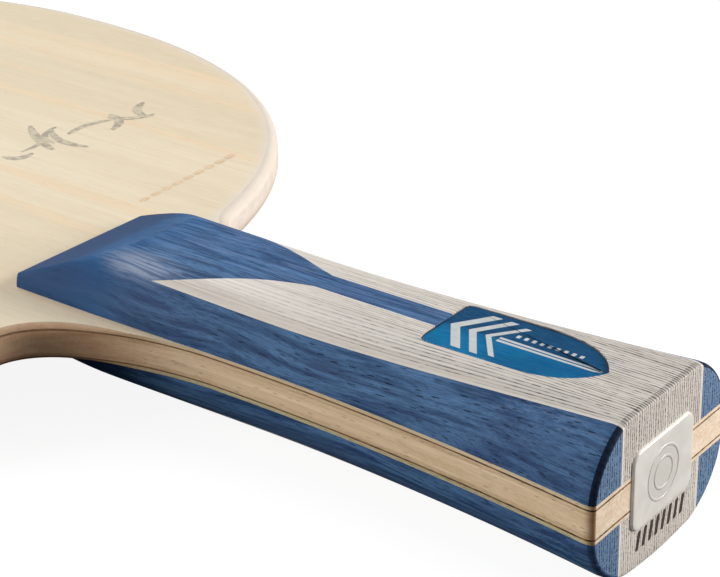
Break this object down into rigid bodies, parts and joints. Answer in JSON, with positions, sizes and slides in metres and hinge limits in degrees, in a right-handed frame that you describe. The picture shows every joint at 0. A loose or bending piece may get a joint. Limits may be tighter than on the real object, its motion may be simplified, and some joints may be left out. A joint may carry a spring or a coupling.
{
  "type": "table tennis blade",
  "caption": "Bare table tennis blade: a laminated wooden head with a flared inlaid handle, a medallion and a butt badge.",
  "frame": {"origin": "middle of the whole object's box, which lies in the middle plane of the plies, in the head", "axes": "+X across the blade, +Y along it from the handle's butt to the head's tip, +Z out of the front face, which carries the medallion"},
  "size_m": [0.157, 0.2574, 0.0228],
  "materials": {
    "face_veneer": "satin, pale fine-grained veneer",
    "fibre_layer": "thin woven fibre in dark resin",
    "inner_veneer": "matte",
    "core_wood": "matte",
    "blue_wood": "satin, dyed blue with open pores",
    "grey_striped_wood": "satin, fine parallel stripes",
    "blue_foil": "metallic",
    "clear_lens": "clear gloss",
    "badge_plastic": "translucent satin"
  },
  "bodies": {
    "root": {"front_face_veneer": "face_veneer", "front_fibre_layer": "fibre_layer", "front_inner_veneer": "inner_veneer", "core": "core_wood", "back_inner_veneer": "inner_veneer", "back_fibre_layer": "fibre_layer", "back_face_veneer": "face_veneer", "front_left_strip": "blue_wood", "front_right_strip": "blue_wood", "front_nose_inlay": "blue_wood", "front_centre_block": "grey_striped_wood", "back_left_strip": "blue_wood", "back_right_strip": "blue_wood", "back_nose_inlay": "blue_wood", "back_centre_block": "grey_striped_wood", "medallion_foil": "blue_foil", "medallion_lens": "clear_lens", "butt_badge": "badge_plastic"}
  },
  "joints": []
}
